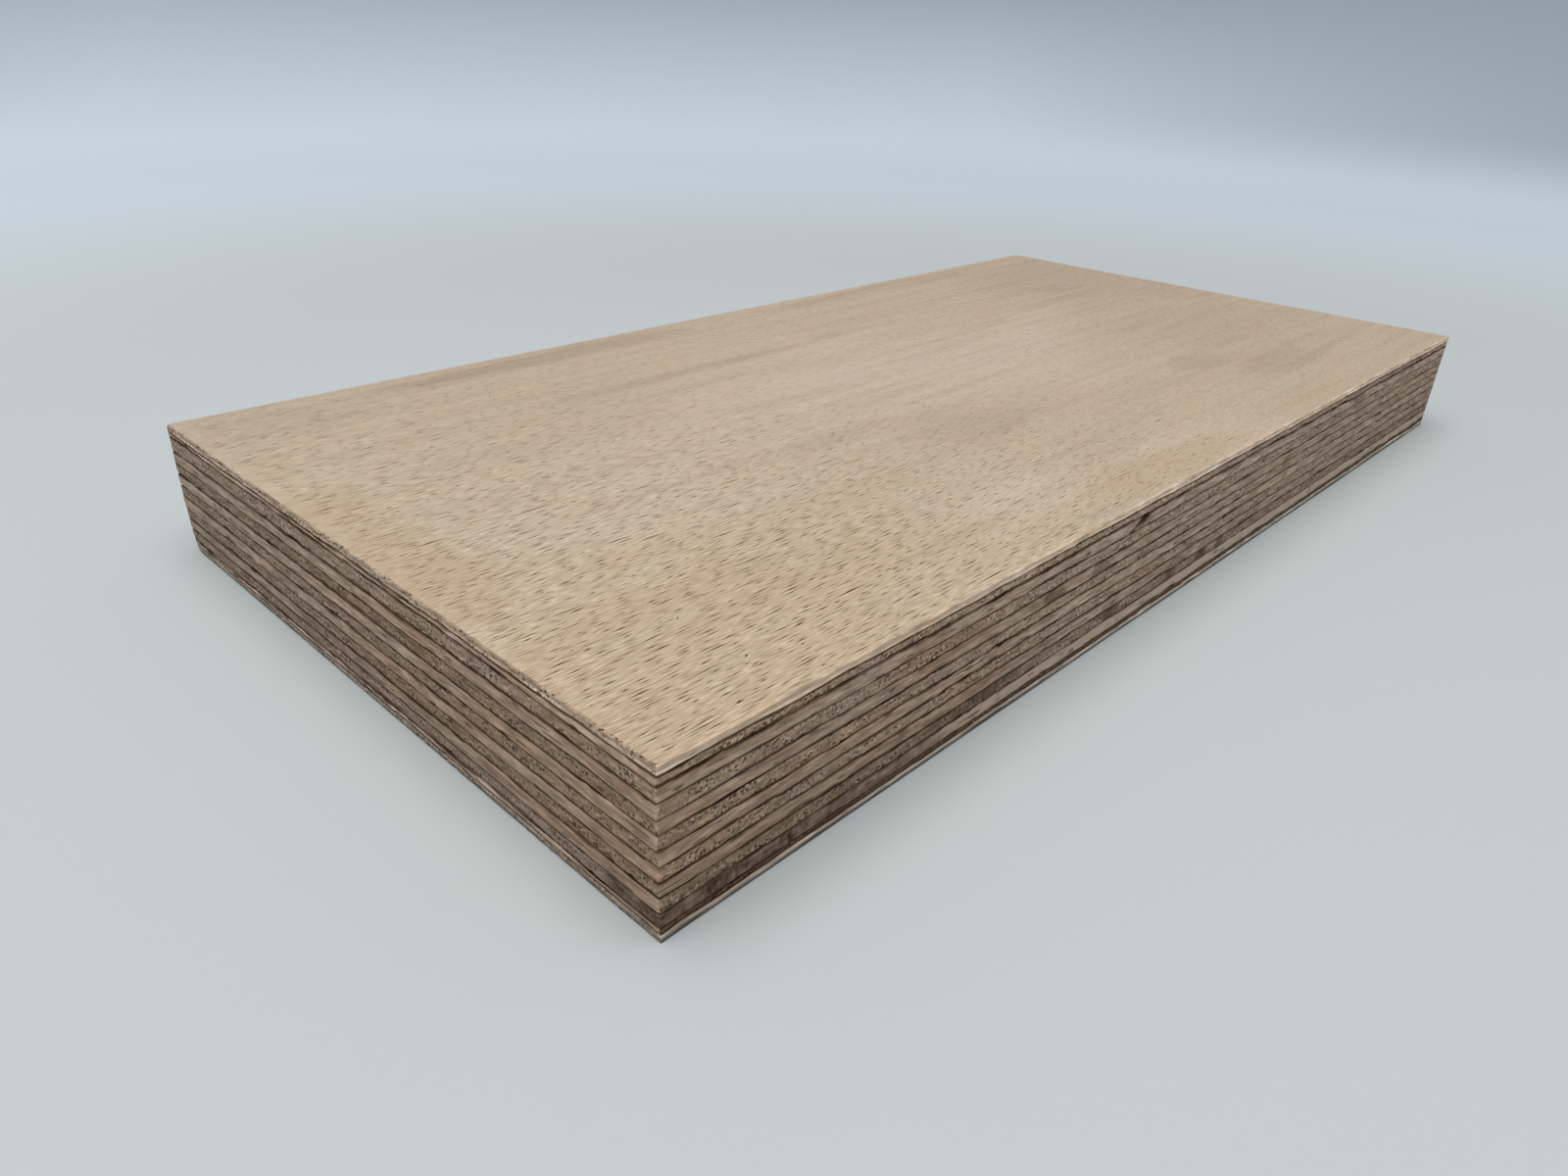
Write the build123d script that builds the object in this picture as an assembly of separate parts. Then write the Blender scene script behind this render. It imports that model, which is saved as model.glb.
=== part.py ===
from build123d import *
import os

# Beech plywood sheet: peeled veneers glued with the grain of each ply across that of the next,
# pressed, sanded on both faces and sawn square.
# All lengths are in millimetres. The origin is the centre of the bottom face, +X runs along the
# grain of the face veneer, +Y across it and +Z up through the plies.

# Sheet
SHEET_LENGTH = 200.0  # along the face grain
SHEET_WIDTH = 100.0  # across the face grain

# Plies, as pressed and sanded
FACE_VENEER_THICKNESS = 0.90
UPPER_CROSSBAND_THICKNESS = 1.05
INNER_PLY_THICKNESS = 1.60
INNER_PLY_COUNT = 9  # odd, so that the first and the last run with the face grain
LOWER_CROSSBAND_THICKNESS = 0.65
BACK_VENEER_THICKNESS = 1.00

# Arrises of the face and the back, rubbed round when the sheet was sanded
ARRIS_RADIUS = 0.20

# Bottom corner at the left far end, knocked off in handling
WORN_CORNER_HEIGHT = 3.5  # up the upright edge
WORN_CORNER_ALONG_END = 1.3  # along the short edge
WORN_CORNER_ALONG_SIDE = 2.0  # along the long edge


def inner_ply_name(number):
    """Name of an inner ply, numbered from the top: the odd ones run along the sheet."""
    grain = "long" if number % 2 else "cross"
    return f"{grain}_ply_{(number + 1) // 2}"


def lay_up():
    """Names and thicknesses of all the plies in the order that they are laid, from the back up."""
    plies = [("back_veneer", BACK_VENEER_THICKNESS)]
    plies.append(("lower_crossband", LOWER_CROSSBAND_THICKNESS))
    for number in range(INNER_PLY_COUNT, 0, -1):
        plies.append((inner_ply_name(number), INNER_PLY_THICKNESS))
    plies.append(("upper_crossband", UPPER_CROSSBAND_THICKNESS))
    plies.append(("face_veneer", FACE_VENEER_THICKNESS))
    return plies


def veneer(base, thickness):
    """One ply, sawn to the sheet's outline, with its underside at the height of its base."""
    outline = Rectangle(SHEET_LENGTH, SHEET_WIDTH)
    return extrude(Plane.XY.offset(base) * outline, amount=thickness)


def rub_arris(face):
    """The ply that a face belongs to, with the arris all round that face rubbed round."""
    return fillet(face.edges(), ARRIS_RADIUS)


def worn_corner_plane():
    """Plane of the break at the worn corner, its normal pointing into the sheet."""
    corner = Vector(-SHEET_LENGTH / 2, SHEET_WIDTH / 2, 0)
    top = corner + Vector(0, 0, WORN_CORNER_HEIGHT)
    to_end = Vector(0, -WORN_CORNER_ALONG_END, -WORN_CORNER_HEIGHT)
    to_side = Vector(WORN_CORNER_ALONG_SIDE, 0, -WORN_CORNER_HEIGHT)
    return Plane(origin=top, x_dir=to_end, z_dir=to_end.cross(to_side))


def build_sheet():
    """All the plies by name, each lying face to face on the one below."""
    worn_corner = worn_corner_plane()
    sheet = {}
    base = 0
    for name, thickness in lay_up():
        ply = veneer(base, thickness)
        if name == "face_veneer":
            ply = rub_arris(ply.faces().sort_by(Axis.Z)[-1])
        if name == "back_veneer":
            ply = rub_arris(ply.faces().sort_by(Axis.Z)[0])
        if base < WORN_CORNER_HEIGHT:
            ply = split(ply, bisect_by=worn_corner, keep=Keep.TOP)
        sheet[name] = ply
        base += thickness
    return sheet


os.makedirs("parts", exist_ok=True)
for node, solid in build_sheet().items():
    export_step(solid, f"parts/{node}.step")
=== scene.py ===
"""Small cut sheet of beech plywood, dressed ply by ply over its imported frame."""

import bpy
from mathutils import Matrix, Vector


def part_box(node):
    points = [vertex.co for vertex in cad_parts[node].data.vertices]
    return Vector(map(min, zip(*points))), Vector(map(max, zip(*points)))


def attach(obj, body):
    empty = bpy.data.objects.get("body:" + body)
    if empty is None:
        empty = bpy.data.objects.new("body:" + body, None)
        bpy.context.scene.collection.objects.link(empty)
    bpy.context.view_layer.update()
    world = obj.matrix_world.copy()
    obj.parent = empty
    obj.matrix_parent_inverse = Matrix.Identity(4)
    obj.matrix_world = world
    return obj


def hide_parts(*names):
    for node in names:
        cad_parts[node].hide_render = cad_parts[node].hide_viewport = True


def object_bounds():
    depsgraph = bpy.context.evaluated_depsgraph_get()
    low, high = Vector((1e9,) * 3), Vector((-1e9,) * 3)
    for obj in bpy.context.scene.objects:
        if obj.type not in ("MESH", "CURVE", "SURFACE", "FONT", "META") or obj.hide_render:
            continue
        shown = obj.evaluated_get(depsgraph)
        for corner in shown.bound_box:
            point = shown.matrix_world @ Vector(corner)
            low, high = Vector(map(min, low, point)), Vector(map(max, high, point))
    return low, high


bl_info = {
    "name": "Beech Plywood Sheet",
    "version": (1, 0, 0),
    "blender": (4, 5, 0),
    "location": "View3D > Sidebar > Plywood",
    "description": "Cut sheet of beech plywood with sanded faces and sawn edges that show every ply",
    "category": "Add Mesh",
}

import math

import bpy
import numpy as np
from bpy.props import FloatProperty, FloatVectorProperty, PointerProperty
from bpy.types import Operator, Panel, PropertyGroup
from mathutils import Matrix, Vector
from mathutils.geometry import delaunay_2d_cdt

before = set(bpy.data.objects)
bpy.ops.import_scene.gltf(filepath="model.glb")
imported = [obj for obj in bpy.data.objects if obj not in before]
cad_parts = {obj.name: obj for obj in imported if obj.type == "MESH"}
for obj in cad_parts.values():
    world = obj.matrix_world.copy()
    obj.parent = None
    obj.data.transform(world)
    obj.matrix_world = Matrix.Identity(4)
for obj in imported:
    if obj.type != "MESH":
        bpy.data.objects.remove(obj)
CAD_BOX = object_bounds()

# The sheet in the frame. Mesh code works in millimetres.
MM = 1000.0  # millimetres in a metre
HALF_LENGTH = CAD_BOX[1].x * MM
HALF_WIDTH = CAD_BOX[1].y * MM
PLIES = sorted(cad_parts, key=lambda node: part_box(node)[0].z)  # from the back up
LEVELS = np.array([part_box(node)[0].z for node in PLIES] + [CAD_BOX[1].z]) * MM

# Walls in the order round the sheet, seen from above: start, run, way in and length
WALLS = {
    "front": ((-HALF_LENGTH, -HALF_WIDTH), (1, 0), (0, 1), 2 * HALF_LENGTH),
    "right": ((HALF_LENGTH, -HALF_WIDTH), (0, 1), (-1, 0), 2 * HALF_WIDTH),
    "back": ((HALF_LENGTH, HALF_WIDTH), (-1, 0), (0, -1), 2 * HALF_LENGTH),
    "left": ((-HALF_LENGTH, HALF_WIDTH), (0, -1), (1, 0), 2 * HALF_WIDTH),
}
WALL_NAMES = list(WALLS)

# Each ply's sawn edges beside the colours below: brightness along the grain and of the end grain,
# then the warmth of both
PLY_TONE_SHARES = {
    "face_veneer": (1.74, 1.48, 1.05, 1.12),
    "upper_crossband": (1.52, 1.03, 0.96, 0.99),
    "long_ply_1": (0.95, 1.00, 0.97, 0.97),
    "cross_ply_1": (1.09, 0.92, 1.00, 0.97),
    "long_ply_2": (0.88, 0.81, 1.02, 1.06),
    "cross_ply_2": (1.12, 0.92, 1.00, 1.00),
    "long_ply_3": (0.93, 0.88, 0.98, 0.98),
    "cross_ply_3": (1.08, 0.92, 1.00, 1.00),
    "long_ply_4": (0.83, 0.82, 1.00, 1.00),
    "cross_ply_4": (0.96, 0.71, 0.99, 1.00),
    "long_ply_5": (0.93, 0.83, 0.88, 0.93),
    "lower_crossband": (1.62, 0.33, 0.77, 1.15),
    "back_veneer": (1.27, 0.98, 0.90, 1.08),
}
PLAIN_SHARES = {"long_ply_5": 0.65}  # how far a ply, away from the near corner, is olive and lacks streaks

# Strength of each glue line from the back up, beside the usual line: on the short walls, on the long ones
GLUE_SHARES = [
    (1.1, 1.1), (1.55, 0.55), (0.85, 0.85), (1.2, 1.05), (0.8, 0.9), (1.05, 0.95),
    (0.85, 0.95), (1.0, 0.9), (0.75, 0.9), (1.25, 0.75), (1.25, 1.4), (1.35, 1.12),
]
WALL_SHARES = np.array([1.075, 1.03, 1.03, 0.965])  # brightness of the sawn walls, in the order of WALLS
THINNED_LEVEL = 11  # on the left wall the upper crossband gets thinner away from the near corner

# Stains on the sawn edges: ply, wall, middle and half length along the wall, strength
STAINS = [
    ("upper_crossband", "left", 100.0, 12.0, 0.35),
    ("upper_crossband", "left", 84.0, 26.0, 0.2),
    ("lower_crossband", "left", 96.0, 12.0, 0.45),
    ("long_ply_5", "left", 97.6, 5.6, 0.75),
    ("upper_crossband", "front", 145.0, 50.0, 0.25),
    ("long_ply_5", "front", 2.0, 8.0, 0.85),
    ("long_ply_5", "front", 12.0, 12.0, 1.0),
    ("long_ply_5", "front", 27.0, 14.0, 0.6),
    ("long_ply_2", "front", 57.5, 3.0, 0.65),
    ("long_ply_2", "front", 67.5, 2.5, 0.65),
    ("long_ply_1", "front", 77.5, 2.2, 0.5),
    ("long_ply_1", "front", 152.0, 5.0, 0.5),
    ("cross_ply_4", "front", 44.0, 10.0, 0.7),
    ("cross_ply_4", "front", 72.5, 2.2, 0.8),
    ("cross_ply_4", "front", 88.5, 2.2, 0.7),
    ("cross_ply_4", "front", 98.0, 2.0, 0.8),
    ("cross_ply_4", "front", 103.5, 1.8, 0.7),
    ("cross_ply_4", "left", 40.0, 9.0, 0.4),
    ("cross_ply_1", "right", 62.0, 6.0, 0.5),
    ("long_ply_3", "back", 48.0, 7.0, 0.6),
    ("long_ply_4", "back", 130.0, 12.0, 0.5),
]

# Cracks across a ply's sawn edge: ply, wall, middle along the wall, half width, lean
CRACKS = [
    ("long_ply_1", "front", 76.0, 1.0, 2.0),
    ("cross_ply_3", "back", 121.0, 0.35, -1.2),
]

# Soft patches on the face: middle x and y, half length, half width, strength share
BROWN_CLOUDS = [
    (-42.0, 45.5, 48.0, 4.0, 1.0),
    (-92.0, 44.0, 16.0, 14.0, 0.4),
    (45.0, 46.0, 52.0, 3.4, 0.45),
    (-38.0, 25.2, 56.0, 2.0, 0.45),
    (3.0, 26.4, 6.0, 1.3, 0.6),
    (-44.0, -10.0, 20.0, 4.5, 0.35),
    (-20.0, -19.0, 15.0, 8.0, 0.45),
    (42.0, -26.0, 9.0, 5.5, 0.6),
    (56.0, -35.0, 16.0, 5.5, 0.6),
    (70.0, -12.0, 32.0, 26.0, 0.35),
    (86.0, 24.0, 34.0, 40.0, 0.45),
]
WARM_CLOUDS = [
    (-97.0, -6.0, 7.0, 34.0, 0.8),
    (-88.0, -42.0, 55.0, 30.0, 0.7),
    (-8.0, -46.0, 28.0, 4.0, 0.8),
    (40.0, -46.0, 18.0, 3.0, 0.4),
]
PALE_CLOUDS = [
    (0.0, 2.0, 64.0, 24.0, 0.9),
    (-2.0, -46.0, 34.0, 7.0, 0.8),
    (-40.0, -41.0, 24.0, 9.0, 0.9),
]

# Small dark points on the face: x, y and length
FACE_SPECKS = [(-61.5, 33.8, 0.7), (-84.0, -34.0, 0.5), (-83.9, -43.1, 0.7)]
SPECK_SHAPE = (0.45, 0.3, 1.6)  # width in mm, tilt in radians and strength beside a ray

# Layout of each ply's map: rows that hold its wall, and the shares of the map for its faces
MAP_MARGIN = 0.01
MAP_ROW_GAP = 0.006
INNER_WALL_ROWS = 16
OUTER_WALL_ROWS = 12

NOISE_LATTICE = (1021, 211)  # random values before a noise repeats
CORNER_BLEND = 1.0  # mm along a wall over which a corner's inset fades out
FAN_REACH = 20.0  # mm from each end over which a hidden face is a fan


def linear(hex_colour):
    """Scene-linear red, green and blue of an sRGB hex colour."""
    channels = [int(hex_colour[i:i + 2], 16) / 255 for i in (1, 3, 5)]
    return tuple(c / 12.92 if c <= 0.04045 else ((c + 0.055) / 1.055) ** 2.4 for c in channels)


def colour(name, description, hex_colour):
    """Property for one colour of the sheet or its stage."""
    return FloatVectorProperty(
        name=name, description=description, default=linear(hex_colour),
        size=3, min=0, max=1, subtype="COLOR")


def length(name, description, millimetres):
    """Property for one length, stored in metres."""
    return FloatProperty(
        name=name, description=description, default=millimetres / MM,
        min=0, precision=5, subtype="DISTANCE", unit="LENGTH")


def angle(name, description, degrees):
    """Property for one angle, stored in radians."""
    return FloatProperty(
        name=name, description=description, default=math.radians(degrees),
        subtype="ANGLE", unit="ROTATION")


def share(name, description, default):
    """Property for a plain number, such as a strength or a density."""
    return FloatProperty(name=name, description=description, default=default, min=0)


class BeechColours(PropertyGroup):
    """Colours of the veneers, the glue and their marks"""

    face: colour("Face", "Sanded face, where it is pinkish", "#BEA78F")
    face_olive: colour("Olive face", "Sanded face, where it is greener", "#B9A991")
    face_pale: colour("Pale fibre", "Light fibres of the sanded face", "#EADBC2")
    # Painted highlight: colour of the lit side of each ray
    ray_highlight: colour("Lit side", "Side of a ray that faces the light", "#E6D6BE")
    face_brown: colour("Brown cloud", "Darker heartwood clouds on the face", "#9F8B76")
    face_cool: colour("Pale patch", "Lighter and less yellow patch of the face", "#CEBDA9")
    face_warm: colour("Warm cloud", "Yellow clouds on the face", "#BA9A75")
    ray: colour("Ray", "Bottom of the rays cut through on a face", "#5C3812")
    back: colour("Back", "Sanded back, greyer than the face", "#B5A48F")
    back_olive: colour("Olive back", "Sanded back, where it is greener", "#AFA48F")
    along: colour("Sawn along the grain", "Edge of a ply sawn along its grain", "#BB9D83")
    along_dark: colour("Dark streak", "Dark streaks along that edge", "#91715A")
    along_pale: colour("Torn sliver", "Long fibres torn up along that edge", "#DAC5AC")
    end: colour("End grain", "Edge of a ply sawn across its grain", "#B19176")
    end_dark: colour("End-grain shade", "Darker fibre ends between the pits", "#93765B")
    end_pale: colour("Torn fibre", "Fibre ends torn up by the saw", "#D8C5AE")
    # Painted shade: the dark inside pits, holes, splits and deep tears
    pit_shade: colour("Pit", "Open vessels and torn holes in the end grain", "#423124")
    stain: colour("Stain", "Dark heartwood and glue soaked into the edge", "#4B3727")
    glue: colour("Glue line", "Phenolic glue between the plies", "#2B190A")
    soaked: colour("Soaked wood", "Wood beside a glue line, darkened by the glue", "#745A42")
    olive: colour("Face edge", "Sawn edge of the face veneer", "#BCA38D")
    olive_dark: colour("Face-edge shade", "Darker fibres of that edge", "#A38A71")
    olive_pale: colour("Face-edge fibre", "Light fibres of that edge", "#D9C5AE")
    grey: colour("Back edge", "Weathered edge of the back veneer", "#BDA791")
    grey_dark: colour("Back-edge shade", "Darker fibres of that edge", "#8F7C68")
    grey_pale: colour("Back-edge sparkle", "Bright fibre ends of that edge", "#EFE8DD")


class SheetRelief(PropertyGroup):
    """Sizes of the relief on the sanded faces and the sawn edges"""

    column_spacing: length("Column spacing", "Vertex spacing along the sawn edges", 0.25)
    row_spacing: length("Row spacing", "Vertex spacing up the sawn edges", 0.19)
    corner_radius: length("Corner radius", "Rounding of the upright corners", 0.25)
    arris_radius: length("Arris radius", "Rounding of the face and back arrises", 0.20)
    arris_chip: length("Arris chip", "Depth of the fibres broken out along the short arrises", 0.05)
    groove_depth: length("Glue groove", "Depth of the glue lines below the sawn edge", 0.08)
    groove_width: length("Groove width", "Half width of a glue line's groove", 0.11)
    void_depth: length("Void depth", "Depth of the gaps that the glue did not fill", 0.45)
    crack_depth: length("Crack depth", "Depth of the cracks across a ply's edge", 0.40)
    wander: length("Glue wander", "Rise and fall of a glue line along the edge", 0.19)
    thinned: length(
        "Thinned crossband", "How much thinner the upper crossband gets along the left wall", 0.38)
    ply_step: length("Ply step", "How much some plies lie behind others", 0.06)
    end_tear: length("End-grain tear", "Roughness of the end grain", 0.15)
    along_tear: length("Long-grain tear", "Roughness of the edge sawn along the grain", 0.05)
    ray_length: length("Ray length", "Usual length of a ray on the face", 2.9)
    ray_width: length("Ray width", "Usual width of a ray with its lit side", 0.24)
    ray_depth: length("Ray depth", "Depth of the groove that a ray leaves", 0.06)
    rays_per_area: share("Rays", "Rays on a square millimetre of face", 0.62)
    worn_height: length("Worn corner height", "Height of the knocked bottom corner", 3.5)
    worn_along_end: length("Worn along end", "Reach of the knocked corner along the short edge", 1.3)
    worn_along_side: length("Worn along side", "Reach of the knocked corner along the long edge", 2.0)


class StageSettings(PropertyGroup):
    """Camera, light and the pale paper under the sheet"""

    eye: FloatVectorProperty(
        name="Eye", description="Place of the camera", size=3, subtype="TRANSLATION", unit="LENGTH",
        default=(-0.14017, -0.10003, 0.06708))
    heading: angle("Heading", "Way the camera looks, from +X towards +Y", 43.186)
    pitch: angle("Pitch", "How far the camera looks down", 27.822)
    roll: angle("Roll", "Turn of the camera about its own axis", 2.301)
    lens: FloatProperty(
        name="Lens", description="Focal length on a 36 mm wide sensor, in millimetres", default=24.473,
        subtype="DISTANCE_CAMERA")
    paper_near: colour("Near paper", "Paper under and in front of the sheet", "#C4C9C8")
    paper_far: colour("Far paper", "Paper behind the sheet, before it turns up", "#DAE2E8")
    paper_up: colour("Upright paper", "Paper that stands up behind the sheet", "#ABB4BF")
    paper_dim: colour("Dim paper", "Upright paper at the sides, away from the light", "#A3ABB1")
    floor_radius: length("Floor radius", "Flat part of the paper", 430.0)
    bend_radius: length("Bend radius", "Curve where the paper turns up", 160.0)
    rise: length("Rise", "Height of the upright paper above the bend", 250.0)
    sky: colour("Sky light", "Light from all round", "#FBFCFF")
    sky_strength: share("Sky strength", "Level of the light from all round", 0.39)
    lamp_size: length("Lamp size", "Side of the square lamp", 800.0)
    lamp_place: FloatVectorProperty(
        name="Lamp place", description="Place of the lamp, which points at the sheet", size=3,
        subtype="TRANSLATION", unit="LENGTH", default=(-0.21, -0.08, 0.855))
    lamp_power: share("Lamp power", "Power of the lamp in watts", 6.6)


def smooth(t):
    """Ease from 0 to 1."""
    return t * t * (3 - 2 * t)


def ease(low, high, value):
    """0 below low, 1 above high, with a soft rise between them."""
    return smooth(np.clip((value - low) / (high - low), 0, 1))


def soft_noise(seed, across, up, cell_across, cell_up):
    """Smooth noise from 0 to 1 over two coordinates, in bumps of about one cell."""
    lattice = np.random.default_rng(seed).random(NOISE_LATTICE)
    a, b = np.broadcast_arrays(across / cell_across, up / cell_up)
    column = np.floor(a).astype(int)
    row = np.floor(b).astype(int)
    fade_a = smooth(a - column)
    fade_b = smooth(b - row)
    column_0, column_1 = column % NOISE_LATTICE[0], (column + 1) % NOISE_LATTICE[0]
    row_0, row_1 = row % NOISE_LATTICE[1], (row + 1) % NOISE_LATTICE[1]
    low = lattice[column_0, row_0] * (1 - fade_a) + lattice[column_1, row_0] * fade_a
    high = lattice[column_0, row_1] * (1 - fade_a) + lattice[column_1, row_1] * fade_a
    return low * (1 - fade_b) + high * fade_b


class Columns:
    """Upright lines of vertices round the sheet, alike in every ply, so that the rims of two plies meet."""

    def __init__(self, relief):
        radius = relief.corner_radius * MM
        wall, along, first = [], [], []
        for number, (start, run, inward, wall_length) in enumerate(WALLS.values()):
            count = round((wall_length - 2 * radius) / (relief.column_spacing * MM))
            inner = np.linspace(radius, wall_length - radius, count + 1)
            first.append(sum(len(part) for part in along))
            along.append(np.concatenate([[0, radius / 2], inner, [wall_length - radius / 2]]))
            wall.append(np.full(count + 4, number))
        self.wall = np.concatenate(wall)
        self.along = np.concatenate(along)
        self.first = np.array(first)
        self.count = len(self.wall)
        sides = list(WALLS.values())
        self.start = np.array([side[0] for side in sides])[self.wall]
        self.run = np.array([side[1] for side in sides])[self.wall]
        self.inward = np.array([side[2] for side in sides])[self.wall]
        lengths = np.array([side[3] for side in sides])
        self.length = lengths[self.wall]
        self.total = lengths.sum()
        self.around = self.along + np.concatenate([[0], np.cumsum(lengths)[:-1]])[self.wall]
        to_corner = np.minimum(self.along, self.length - self.along)
        rounding = np.clip(1 - to_corner / radius, 0, 1) ** 2
        self.corner_inset = (1 - math.sqrt(0.5)) * radius * rounding

    def on_short_walls(self):
        """True for the columns of the two short walls."""
        return self.wall % 2 == 1

    def points(self, inset, height):
        """Points from how far in and how high each vertex is, with the corners kept square."""
        corner = inset[:, self.first]
        at_start = np.clip(1 - self.along / CORNER_BLEND, 0, 1) * corner[:, self.wall]
        at_end = np.clip(1 - (self.length - self.along) / CORNER_BLEND, 0, 1)
        at_end = at_end * corner[:, (self.wall + 1) % len(WALLS)]
        along = self.along + at_start - at_end
        flat = self.start + self.run * along[..., None] + self.inward * inset[..., None]
        return np.concatenate([flat, height[..., None]], axis=-1)


def glue_line(level, columns, relief):
    """Height, depth, half width and strength of the groove along one glue line, all round the sheet."""
    around = columns.around
    seed = 100 + 10 * level
    short, long = GLUE_SHARES[level - 1] if 0 < level < len(PLIES) else (1.0, 1.0)
    swell = soft_noise(seed + 5, around, 0.5, 5.0, 1.0)
    strength = np.where(columns.on_short_walls(), short, long) * (0.5 + swell)
    slow = soft_noise(seed, around, 0.5, 8.0, 1.0) - 0.5
    quick = soft_noise(seed + 1, around, 0.5, 3.0, 1.0) - 0.5
    height = LEVELS[level] + relief.wander * MM * (1.1 * slow + 0.9 * quick)
    if level == THINNED_LEVEL:
        # Back from the near corner, over the left wall and on to the back one
        before = columns.total - columns.around
        height = height + relief.thinned * MM * ease(2.0, 28.0, before) * (1 - ease(100.0, 108.0, before))
    void = ease(0.58, 0.76, soft_noise(seed + 2, around, 0.5, 3.6, 1.0))
    void = void * ease(0.36, 0.62, soft_noise(seed + 3, around, 0.5, 15.0, 1.0))
    corner = np.minimum(around, columns.total - around)
    void = void * (0.35 + 0.65 * ease(10.0, 45.0, corner))  # hardly any near the corner that was handled most
    ragged = soft_noise(seed + 4, around, 0.5, 1.4, 1.0)
    depth = relief.groove_depth * MM * strength * (0.55 + 0.9 * ragged) + relief.void_depth * MM * void
    width = relief.groove_width * MM * (0.7 + 0.6 * ragged + 0.9 * void)
    # Painted shade: where the glue left a void, its line is painted stronger and darker, for the shade in the
    # gap
    return height, depth + columns.corner_inset, width, strength * (1 + 0.5 * void)


def row_heights(thickness, relief, free_bottom, free_top):
    """Heights of a ply's rows of vertices above its underside, closer together at its rims."""
    glued = np.array([0, 0.07, 0.16])
    arris = np.array([0, 0.15, 0.45, 1.0]) * relief.arris_radius * MM
    low = arris if free_bottom else glued
    high = thickness - (arris if free_top else glued)[::-1]
    spans = max(1, round((high[0] - low[-1]) / (relief.row_spacing * MM)))
    return np.concatenate([low, np.linspace(low[-1], high[0], spans + 1)[1:-1], high])


def arris_inset(number, columns, relief, below):
    """How far the rubbed and broken arris of a face or back lies in, at a distance below that face."""
    around = columns.around
    seed = 900 + 20 * number
    rubbed_and_shaded = relief.arris_radius * MM * (0.75 + 0.5 * soft_noise(seed, around, 0.5, 6.0, 1.0))
    inset = rubbed_and_shaded - np.sqrt(np.clip(rubbed_and_shaded**2 - np.clip(rubbed_and_shaded - below, 0, None) ** 2, 0, None))
    tufts = soft_noise(seed + 1, around, 0.5, 0.55, 1.0) * soft_noise(seed + 2, around, 0.5, 1.9, 1.0)
    chip = relief.arris_chip * MM * ease(0.12, 0.6, tufts) * columns.on_short_walls()
    reach = 0.25 + 0.35 * soft_noise(seed + 3, around, 0.5, 0.7, 1.0)
    return inset + chip * np.clip(1 - below / reach, 0, 1)


def end_grain_tear(seed, around, height):
    """Torn end grain from 0 to 1: tufts, slanted cuts and open vessels."""
    tufts = soft_noise(seed, around, height, 0.5, 0.4)
    slanted = soft_noise(seed + 1, around + height, height - around, 1.6, 0.5)
    vessels = ease(0.68, 0.88, soft_noise(seed + 2, around, height, 0.45, 0.38))
    patches = ease(0.35, 0.75, soft_noise(seed + 3, around, height, 6.0, 1.3))
    return np.clip(0.25 * tufts + 0.15 * slanted + 0.6 * vessels * patches, 0, 1)


def long_grain_tear(seed, around, height):
    """Sawn long grain from 0 to 1: fine furrows along the grain and a few torn fibres."""
    furrows = soft_noise(seed, around, height, 5.0, 0.22)
    ripple = soft_noise(seed + 1, around, height, 1.8, 0.6)
    torn = ease(0.80, 0.93, soft_noise(seed + 2, around, height, 2.2, 0.20))
    return np.clip(0.30 * furrows + 0.20 * ripple + 0.7 * torn, 0, 1)


def stain_share(node, columns, height):
    """How strongly each vertex of a ply's wall is stained, from 0 to 1."""
    found = np.zeros(height.shape)
    uneven = soft_noise(71, columns.around, height, 3.0, 0.8)
    for ply, wall, middle, half, strength in STAINS:
        if ply == node:
            from_middle = np.abs(columns.along - middle) / half + 0.7 * (uneven - 0.5)
            here = (columns.wall == WALL_NAMES.index(wall)) * strength * (1 - ease(0.45, 1.0, from_middle))
            found = np.maximum(found, here)
    return found


def crack_distance(node, columns, height):
    """Distance of each vertex of a ply's wall from the nearest crack, in half widths of that crack."""
    found = np.full(height.shape, np.inf)
    number = PLIES.index(node)
    up = height - (LEVELS[number] + LEVELS[number + 1]) / 2
    for ply, wall, middle, half, lean in CRACKS:
        if ply == node:
            away = np.abs(columns.along - middle - lean * up) / half
            found = np.where(columns.wall == WALL_NAMES.index(wall), np.minimum(found, away), found)
    return found


def knock_corner(points, relief):
    """Points with those beyond the break at the worn bottom corner pushed back onto it, with a soft edge."""
    reach = np.array([relief.worn_along_side, -relief.worn_along_end, relief.worn_height]) * MM
    inward = 1 / reach
    size = np.linalg.norm(inward)
    from_corner = points - np.array([-HALF_LENGTH, HALF_WIDTH, 0])
    depth = (from_corner @ inward - 1) / size
    ragged = soft_noise(81, points[..., 0] + points[..., 1], points[..., 2], 0.5, 0.5)
    edge = 0.12 + 0.30 * ragged
    pushed = (depth + np.sqrt(depth**2 + edge**2)) / 2
    pushed = np.where(depth < 4 * edge, pushed, depth)
    return points + (pushed - depth)[..., None] * inward / size


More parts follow.
